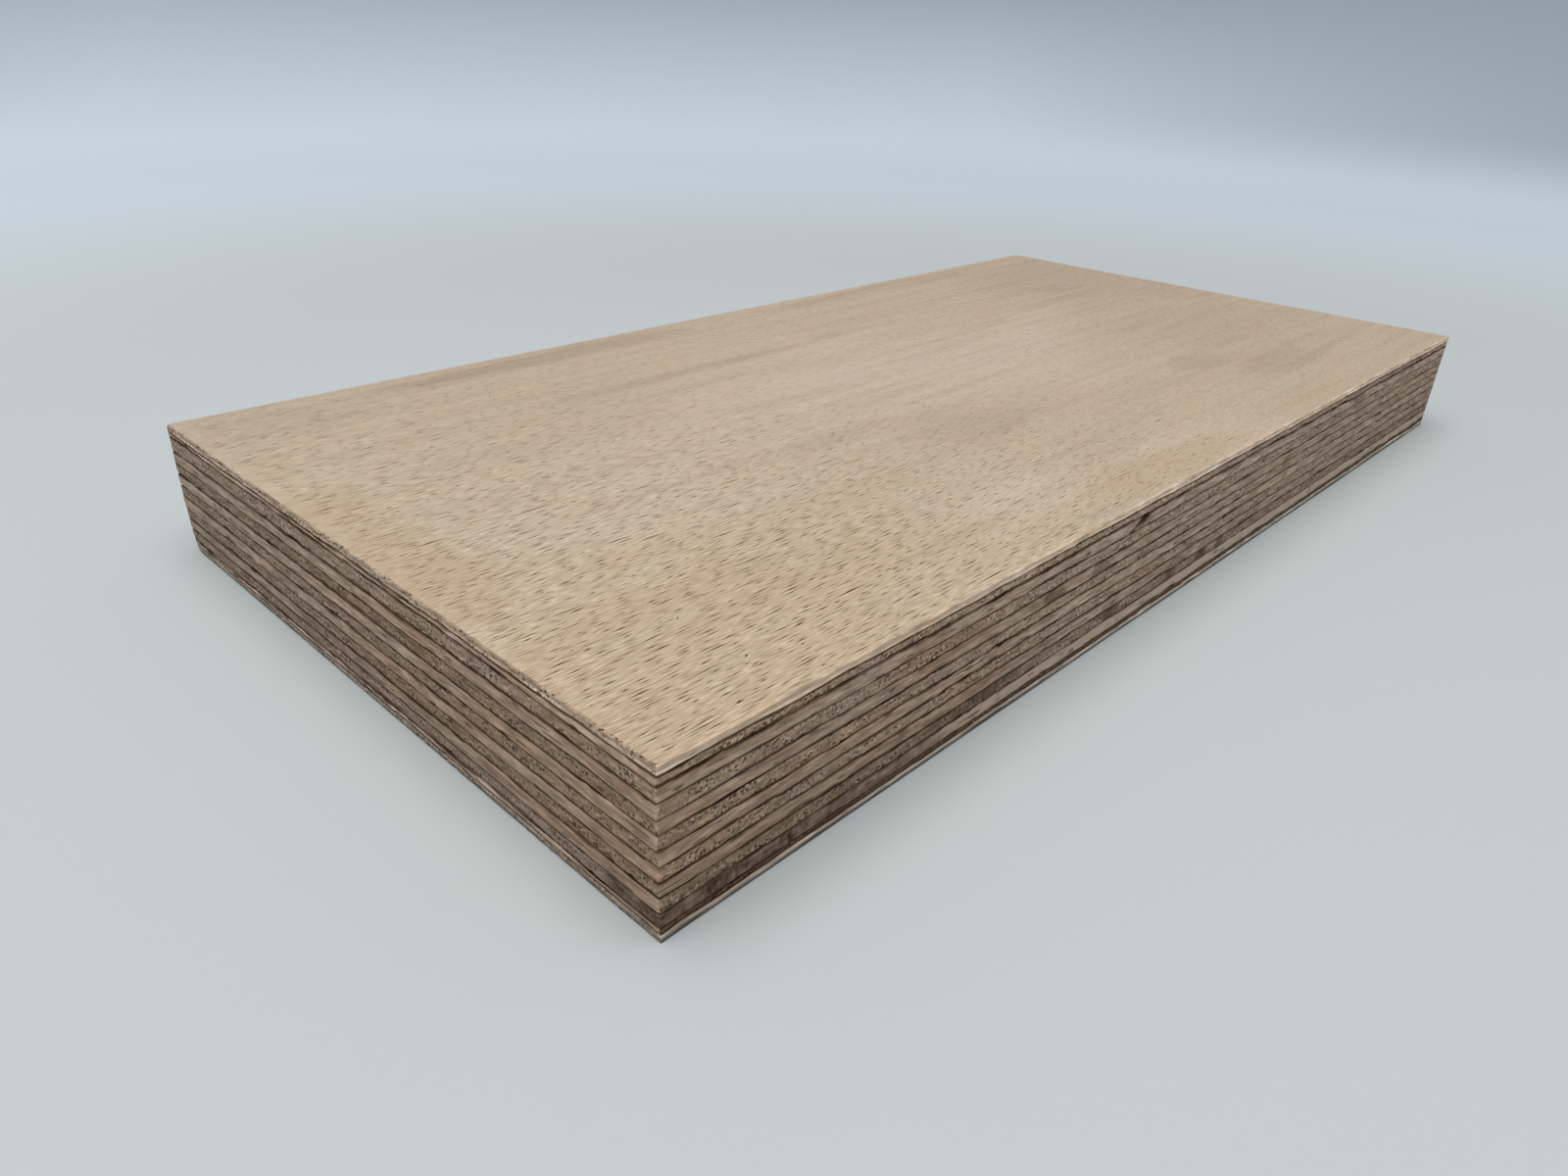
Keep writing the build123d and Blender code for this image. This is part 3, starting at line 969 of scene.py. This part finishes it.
def beech_sawn_end(name, colours, ground, dark, pale):
    """Beech sawn across its grain."""
    # Fibre ends are torn up in tiny light specks, and open vessels and torn holes are painted dark, a
    # painted shade for the hollows. They lie in clusters, so that the edge is speckled and rough in one
    # stretch and duller and closed in the next.
    material, tree, shader = new_material(name)
    place = wall_place(tree)
    speckle = texture(tree, "ShaderNodeTexNoise", place, (0.28, 0.24), {"Detail": 2.0})
    patches = texture(tree, "ShaderNodeTexNoise", place, (5.0, 1.0), {"Detail": 2.0})
    clusters = texture(tree, "ShaderNodeTexNoise", place, (3.2, 0.8), {"Detail": 3.0})
    vessels = texture(tree, "ShaderNodeTexVoronoi", place, (0.62, 0.50), voronoi_dimensions="2D")
    tips = texture(tree, "ShaderNodeTexVoronoi", place, (0.34, 0.70), turn=-24.0, voronoi_dimensions="2D")
    mixed = add_node(tree, "ShaderNodeMath", {0: patches, 1: 0.8, 2: speckle}, operation="MULTIPLY_ADD")
    shade = add_node(tree, "ShaderNodeMapRange",
                     {"Value": mixed.outputs[0], 1: 0.70, 2: 1.10, 3: 0.0, 4: 1.0})
    wood = add_node(tree, "ShaderNodeMix",
                    {0: shade.outputs[0], 6: rgba(ground), 7: rgba(dark)}, data_type="RGBA")
    where = add_node(tree, "ShaderNodeMapRange", {"Value": clusters, 1: 0.40, 2: 0.60, 3: 0.12, 4: 1.0})
    tip = add_node(tree, "ShaderNodeMapRange", {"Value": tips, 1: 0.12, 2: 0.30, 3: 0.9, 4: 0.0})
    lift = add_node(tree, "ShaderNodeMath", {0: tip.outputs[0], 1: where.outputs[0]}, operation="MULTIPLY")
    lit = add_node(tree, "ShaderNodeMix",
                   {0: lift.outputs[0], 6: wood.outputs[2], 7: rgba(pale)}, data_type="RGBA")
    # Painted shade: open vessels and torn holes are painted in the dark pit colour
    vessel = add_node(tree, "ShaderNodeMapRange", {"Value": vessels, 1: 0.17, 2: 0.32, 3: 0.9, 4: 0.0})
    hole = add_node(tree, "ShaderNodeMath", {0: vessel.outputs[0], 1: where.outputs[0]}, operation="MULTIPLY")
    pitted = add_node(tree, "ShaderNodeMix", {0: hole.outputs[0], 6: lit.outputs[2], 7: rgba(colours.pit_shade)},
                      data_type="RGBA")
    relief = add_node(tree, "ShaderNodeMath", {0: speckle, 1: hole.outputs[0]}, operation="SUBTRACT")
    bump = add_node(tree, "ShaderNodeBump",
                    {"Strength": 0.9, "Distance": 0.10 / MM, "Height": relief.outputs[0]})
    marked = edge_marks(tree, colours, place, ground, pitted.outputs[2])
    tree.links.new(marked, shader.inputs["Base Color"])
    tree.links.new(bump.outputs[0], shader.inputs["Normal"])
    shader.inputs["Roughness"].default_value = 0.88
    shader.inputs["Specular IOR Level"].default_value = 0.05
    return material


def phenolic_glue(colours):
    """Cured glue film on the hidden faces of a ply."""
    # A thin dark resin film pressed into the wood: dark brown, blotchy where it soaked in.
    material, tree, shader = new_material("phenolic_glue_film")
    place = add_node(tree, "ShaderNodeTexCoord").outputs["Object"]
    blotches = add_node(tree, "ShaderNodeTexNoise", {"Vector": place, "Scale": MM / 6.0, "Detail": 3.0})
    film = add_node(tree, "ShaderNodeMix",
                    {0: blotches.outputs[0], 6: rgba(colours.glue), 7: rgba(colours.stain)}, data_type="RGBA")
    tree.links.new(film.outputs[2], shader.inputs["Base Color"])
    shader.inputs["Roughness"].default_value = 0.6
    return material


def beech_sanded(name, colours, ground, olive):
    """Rotary-cut beech veneer, sanded."""
    # Sanding leaves a matt pale surface. The knife cut the rays end on, so they show as short dark dashes
    # along the grain, with light fibres between them and slow clouds of darker wood.
    material, tree, shader = new_material(name)
    place = add_node(tree, "ShaderNodeTexCoord").outputs["Object"]
    flat = add_node(tree, "ShaderNodeVectorMath",
                    {0: place, 1: (MM, MM, MM)}, operation="MULTIPLY").outputs[0]
    fibres = texture(tree, "ShaderNodeTexNoise", flat, (1.8, 0.16), {"Detail": 2.0})
    grain = texture(tree, "ShaderNodeTexNoise", flat, (45.0, 2.2), {"Detail": 4.0})
    hues = texture(tree, "ShaderNodeTexNoise", flat, (12.0, 5.0), {"Detail": 2.0})
    marks = {key: add_node(tree, "ShaderNodeAttribute", attribute_name=key).outputs["Fac"]
             for key in ("ray", "brown", "warm", "pale")}
    olives = add_node(tree, "ShaderNodeMapRange", {"Value": hues, 1: 0.32, 2: 0.68, 3: 0.0, 4: 1.0})
    body = add_node(tree, "ShaderNodeMix",
                    {0: olives.outputs[0], 6: rgba(ground), 7: rgba(olive)}, data_type="RGBA")
    # The fibres were sanded less smooth towards the near corner
    along = add_node(tree, "ShaderNodeVectorMath", {0: flat, 1: (1.0, 0.8, 0.0)}, operation="DOT_PRODUCT")
    raw = add_node(tree, "ShaderNodeMapRange",
                   {"Value": along.outputs["Value"], 1: -125.0, 2: -35.0, 3: 1.0, 4: 0.28})
    light = add_node(tree, "ShaderNodeMapRange", {"Value": fibres, 1: 0.44, 2: 0.68, 3: 0.0, 4: 0.9})
    raised = add_node(tree, "ShaderNodeMath", {0: light.outputs[0], 1: raw.outputs[0]}, operation="MULTIPLY")
    wood = add_node(tree, "ShaderNodeMix",
                    {0: raised.outputs[0], 6: body.outputs[2], 7: rgba(colours.face_pale)}, data_type="RGBA")
    pale = add_node(tree, "ShaderNodeMath", {0: marks["pale"], 1: 0.5}, operation="MULTIPLY")
    paled = add_node(tree, "ShaderNodeMix",
                     {0: pale.outputs[0], 6: wood.outputs[2], 7: rgba(colours.face_cool)}, data_type="RGBA")
    streak = add_node(tree, "ShaderNodeMapRange", {"Value": grain, 1: 0.45, 2: 0.75, 3: 0.0, 4: 0.35})
    brown = add_node(tree, "ShaderNodeMath", {0: marks["brown"], 1: 0.5, 2: streak.outputs[0]},
                     operation="MULTIPLY_ADD", use_clamp=True)
    clouded = add_node(tree, "ShaderNodeMix",
                       {0: brown.outputs[0], 6: paled.outputs[2], 7: rgba(colours.face_brown)},
                       data_type="RGBA")
    warm = add_node(tree, "ShaderNodeMath", {0: marks["warm"], 1: 0.5}, operation="MULTIPLY")
    warmed = add_node(tree, "ShaderNodeMix",
                      {0: warm.outputs[0], 6: clouded.outputs[2], 7: rgba(colours.face_warm)},
                      data_type="RGBA")
    # Rays that the knife only grazed: faint dashes of 2.4 by 0.17 mm
    grazed = texture(tree, "ShaderNodeTexNoise", flat, (2.4, 0.17), {"Detail": 1.0})
    faint = add_node(tree, "ShaderNodeMapRange", {"Value": grazed, 1: 0.54, 2: 0.68, 3: 0.0, 4: 0.45})
    shallow = add_node(tree, "ShaderNodeMath", {0: faint.outputs[0], 1: raw.outputs[0]}, operation="MULTIPLY")
    dashed = add_node(tree, "ShaderNodeMix",
                      {0: shallow.outputs[0], 6: warmed.outputs[2], 7: rgba(colours.ray)}, data_type="RGBA")
    # Painted highlight: the lit side of each ray is painted pale
    side = add_node(tree, "ShaderNodeMapRange", {"Value": marks["ray"], 1: -0.02, 2: -0.34, 3: 0.0, 4: 0.9})
    lit = add_node(tree, "ShaderNodeMix",
                   {0: side.outputs[0], 6: dashed.outputs[2], 7: rgba(colours.ray_highlight)}, data_type="RGBA")
    cut = add_node(tree, "ShaderNodeMapRange", {"Value": marks["ray"], 1: 0.02, 2: 0.36, 3: 0.0, 4: 1.0})
    rayed = add_node(tree, "ShaderNodeMix", {0: cut.outputs[0], 6: lit.outputs[2], 7: rgba(colours.ray)},
                     data_type="RGBA")
    bump = add_node(tree, "ShaderNodeBump", {"Strength": 0.35, "Distance": 0.02 / MM, "Height": fibres})
    tree.links.new(rayed.outputs[2], shader.inputs["Base Color"])
    tree.links.new(bump.outputs[0], shader.inputs["Normal"])
    shader.inputs["Roughness"].default_value = 0.62
    shader.inputs["Specular IOR Level"].default_value = 0.2
    return material


def studio_paper(stage):
    """Pale studio paper under and behind the sheet."""
    # Uncoated paper: even and matt. Its colour carries painted light and shade: darker near the sheet and
    # lighter further out, darker and bluer where it stands up behind, most of all at the sides.
    material, tree, shader = new_material("studio_paper")
    place = add_node(tree, "ShaderNodeTexCoord").outputs["Object"]
    away = add_node(tree, "ShaderNodeVectorMath", {0: place}, operation="LENGTH").outputs["Value"]
    # Painted light: the floor is painted darker near the sheet and lighter further out
    far = add_node(tree, "ShaderNodeMapRange",
                   {"Value": away, 1: 0.15, 2: stage.floor_radius, 3: 0.0, 4: 1.0},
                   interpolation_type="SMOOTHSTEP")
    floor = add_node(tree, "ShaderNodeMix",
                     {0: far.outputs[0], 6: rgba(stage.paper_near), 7: rgba(stage.paper_far)},
                     data_type="RGBA")
    side = add_node(tree, "ShaderNodeVectorMath", {0: place, 1: (0.7, -0.7, 0.0)}, operation="DOT_PRODUCT")
    shifted = add_node(tree, "ShaderNodeMath", {0: side.outputs["Value"], 1: 0.12}, operation="ADD")
    apart = add_node(tree, "ShaderNodeMath", {0: shifted.outputs[0]}, operation="ABSOLUTE")
    edges = add_node(tree, "ShaderNodeMapRange",
                     {"Value": apart.outputs[0], 1: 0.22, 2: 0.58, 3: 0.0, 4: 1.0})
    height = add_node(tree, "ShaderNodeSeparateXYZ", {0: place}).outputs["Z"]
    # Painted shade: the paper that stands up behind is painted darker and bluer
    raised = add_node(tree, "ShaderNodeMapRange",
                      {"Value": height, 1: 0.01, 2: stage.bend_radius / 1.8, 3: 0.0, 4: 1.0})
    upright = add_node(tree, "ShaderNodeMix",
                       {0: raised.outputs[0], 6: floor.outputs[2], 7: rgba(stage.paper_up)}, data_type="RGBA")
    lifted = add_node(tree, "ShaderNodeMapRange",
                      {"Value": height, 1: 0.0, 2: stage.bend_radius / 5, 3: 0.0, 4: 1.0},
                      interpolation_type="SMOOTHSTEP")
    # Painted shade: the upright paper is painted dimmer still at the sides, away from the light
    painted_side_shade = add_node(tree, "ShaderNodeMath", {0: edges.outputs[0], 1: lifted.outputs[0]}, operation="MULTIPLY")
    paper = add_node(tree, "ShaderNodeMix",
                     {0: painted_side_shade.outputs[0], 6: upright.outputs[2], 7: rgba(stage.paper_dim)}, data_type="RGBA")
    tree.links.new(paper.outputs[2], shader.inputs["Base Color"])
    shader.inputs["Roughness"].default_value = 0.95
    shader.inputs["Specular IOR Level"].default_value = 0.1
    return material


def edge_materials(context, veneer=""):
    """The materials of a ply's long-grain edges, end grain and hidden faces, each made once."""
    colours = context.scene.plywood_colours
    inner = (colours.along, colours.along_dark, colours.along_pale)
    inner_end = (colours.end, colours.end_dark, colours.end_pale)
    face = (colours.olive, colours.olive_dark, colours.olive_pale)
    back = (colours.grey, colours.grey_dark, colours.grey_pale)
    along, end = {"": (inner, inner_end), "face_": (face, face), "back_": (back, back)}[veneer]
    makers = {
        f"beech_{veneer}sawn_along_grain": (beech_sawn_along, along),
        f"beech_{veneer}sawn_end_grain": (beech_sawn_end, end),
    }
    found = []
    for name, (make, woods) in makers.items():
        found.append(bpy.data.materials.get(name) or make(name, colours, *woods))
    found.append(bpy.data.materials.get("phenolic_glue_film") or phenolic_glue(colours))
    return found


def lay_plies(context, names):
    """Lays each of the named plies with the shared edge materials."""
    materials = edge_materials(context)
    for node in names:
        lay_ply(context, PLIES.index(node), materials)


class PLYWOOD_OT_face_veneer(Operator):
    """Lay the sanded face veneer with its rays and clouds"""

    bl_idname = "plywood.face_veneer"
    bl_label = "Face Veneer"

    def execute(self, context):
        colours = context.scene.plywood_colours
        sanded = beech_sanded("beech_sanded_face", colours, colours.face, colours.face_olive)
        clouds = {"brown": (BROWN_CLOUDS, 601), "warm": (WARM_CLOUDS, 611), "pale": (PALE_CLOUDS, 641)}
        lay_ply(context, len(PLIES) - 1, edge_materials(context, "face_") + [sanded], clouds)
        return {"FINISHED"}


class PLYWOOD_OT_crossbands(Operator):
    """Lay the two thin plies under the face and over the back"""

    bl_idname = "plywood.crossbands"
    bl_label = "Crossbands"

    def execute(self, context):
        lay_plies(context, [node for node in PLIES if "crossband" in node])
        return {"FINISHED"}


class PLYWOOD_OT_long_plies(Operator):
    """Lay the inner plies whose grain runs along the sheet"""

    bl_idname = "plywood.long_plies"
    bl_label = "Long Plies"

    def execute(self, context):
        lay_plies(context, [node for node in PLIES if node.startswith("long_ply")])
        return {"FINISHED"}


class PLYWOOD_OT_cross_plies(Operator):
    """Lay the inner plies whose grain runs across the sheet"""

    bl_idname = "plywood.cross_plies"
    bl_label = "Cross Plies"

    def execute(self, context):
        lay_plies(context, [node for node in PLIES if node.startswith("cross_ply")])
        return {"FINISHED"}


class PLYWOOD_OT_back_veneer(Operator):
    """Lay the back veneer that the sheet rests on"""

    bl_idname = "plywood.back_veneer"
    bl_label = "Back Veneer"

    def execute(self, context):
        colours = context.scene.plywood_colours
        sanded = beech_sanded("beech_sanded_back", colours, colours.back, colours.back_olive)
        clouds = {
            "brown": (BROWN_CLOUDS[:4], 621),
            "warm": (WARM_CLOUDS[:1], 631),
            "pale": (PALE_CLOUDS[1:], 651),
        }
        lay_ply(context, 0, edge_materials(context, "back_") + [sanded], clouds)
        return {"FINISHED"}


class PLYWOOD_OT_stage(Operator):
    """Set the paper, the light and the camera"""

    bl_idname = "plywood.stage"
    bl_label = "Stage"

    def execute(self, context):
        scene = context.scene
        stage = scene.plywood_stage
        lay_paper(scene, stage)
        light_stage(scene, stage)
        place_camera(scene, stage)
        scene.view_settings.view_transform = "Standard"
        return {"FINISHED"}


def lay_paper(scene, stage):
    """Round sheet of paper that turns up all round, so that it lies behind the object in every view."""
    turn = np.linspace(0, math.pi / 2, 13)
    radius = np.concatenate([[0.02, 0.12, 0.25], stage.floor_radius + stage.bend_radius * np.sin(turn)])
    height = np.concatenate([[0, 0, 0], stage.bend_radius * (1 - np.cos(turn))])
    radius = np.append(radius, radius[-1])
    height = np.append(height, height[-1] + stage.rise)
    count = 96  # points round each ring
    around = np.linspace(0, 2 * math.pi, count, endpoint=False)
    rings = [np.stack([r * np.cos(around), r * np.sin(around), np.full(count, z)], axis=1)
             for r, z in zip(radius, height)]
    # The paper lies 0.02 mm under the sheet, so that the two don't share a face
    points = np.concatenate([[(0, 0, 0)], *rings]) - (0, 0, 0.02 / MM)
    step = np.arange(count)
    after = (step + 1) % count
    faces = np.stack([np.zeros(count, int), 1 + step, 1 + after], axis=1).tolist()
    for ring in range(len(rings) - 1):
        base = 1 + ring * count
        quads = np.stack([base + step, base + count + step, base + count + after, base + after], axis=1)
        faces += quads.tolist()
    mesh = bpy.data.meshes.new("studio_paper")
    mesh.from_pydata(points.tolist(), [], faces)
    mesh.polygons.foreach_set("use_smooth", np.ones(len(faces), bool))
    mesh.materials.append(studio_paper(stage))
    paper = bpy.data.objects.new("studio_paper", mesh)
    scene.collection.objects.link(paper)


def light_stage(scene, stage):
    """Soft light from all round and one large lamp over the camera's side."""
    world = bpy.data.worlds.new("soft_sky")
    scene.world = world
    world.use_nodes = True
    sky = world.node_tree.nodes["Background"]
    sky.inputs["Color"].default_value = rgba(stage.sky)
    sky.inputs["Strength"].default_value = stage.sky_strength
    lamp = bpy.data.lights.new("soft_lamp", "AREA")
    lamp.size = stage.lamp_size
    lamp.energy = stage.lamp_power
    lamp_object = bpy.data.objects.new("soft_lamp", lamp)
    lamp_object.location = stage.lamp_place
    lamp_object.rotation_euler = Vector(stage.lamp_place).to_track_quat("Z", "Y").to_euler()
    scene.collection.objects.link(lamp_object)


def place_camera(scene, stage):
    """Camera at the photograph's place and angle."""
    heading, pitch, roll = stage.heading, stage.pitch, stage.roll
    ahead = math.cos(pitch)
    forward = Vector((ahead * math.cos(heading), ahead * math.sin(heading), -math.sin(pitch)))
    level_right = Vector((math.sin(heading), -math.cos(heading), 0))
    level_up = level_right.cross(forward)
    right = level_right * math.cos(roll) + level_up * math.sin(roll)
    up = right.cross(forward)
    camera = bpy.data.cameras.new("photo_camera")
    camera.sensor_fit = "HORIZONTAL"
    camera.sensor_width = 36.0
    camera.lens = stage.lens
    camera.clip_start = 0.005
    camera_object = bpy.data.objects.new("photo_camera", camera)
    turned = Matrix((right, up, -forward)).transposed().to_4x4()
    camera_object.matrix_world = Matrix.Translation(stage.eye) @ turned
    scene.collection.objects.link(camera_object)
    scene.camera = camera_object


class PLYWOOD_PT_sheet(Panel):
    """Buttons and settings for the plywood sheet"""

    bl_label = "Plywood Sheet"
    bl_space_type = "VIEW_3D"
    bl_region_type = "UI"
    bl_category = "Plywood"

    def draw(self, context):
        for operator in OPERATORS:
            self.layout.operator(operator.bl_idname)
        for name, group in GROUPS.items():
            box = self.layout.box()
            for key in group.__annotations__:
                box.prop(getattr(context.scene, name), key)


GROUPS = {
    "plywood_colours": BeechColours,
    "plywood_relief": SheetRelief,
    "plywood_stage": StageSettings,
}
OPERATORS = (
    PLYWOOD_OT_face_veneer,
    PLYWOOD_OT_crossbands,
    PLYWOOD_OT_long_plies,
    PLYWOOD_OT_cross_plies,
    PLYWOOD_OT_back_veneer,
    PLYWOOD_OT_stage,
)
CLASSES = (*GROUPS.values(), *OPERATORS, PLYWOOD_PT_sheet)


def register():
    """Registers the classes and gives every scene its settings."""
    for item in CLASSES:
        bpy.utils.register_class(item)
    for name, group in GROUPS.items():
        setattr(bpy.types.Scene, name, PointerProperty(type=group))


def unregister():
    """Takes the settings and the classes away again."""
    for name in GROUPS:
        delattr(bpy.types.Scene, name)
    for item in reversed(CLASSES):
        bpy.utils.unregister_class(item)


def main():
    register()
    bpy.ops.plywood.face_veneer()
    bpy.ops.plywood.crossbands()
    bpy.ops.plywood.long_plies()
    bpy.ops.plywood.cross_plies()
    bpy.ops.plywood.back_veneer()
    bpy.ops.plywood.stage()


if __name__ == "__main__":
    main()
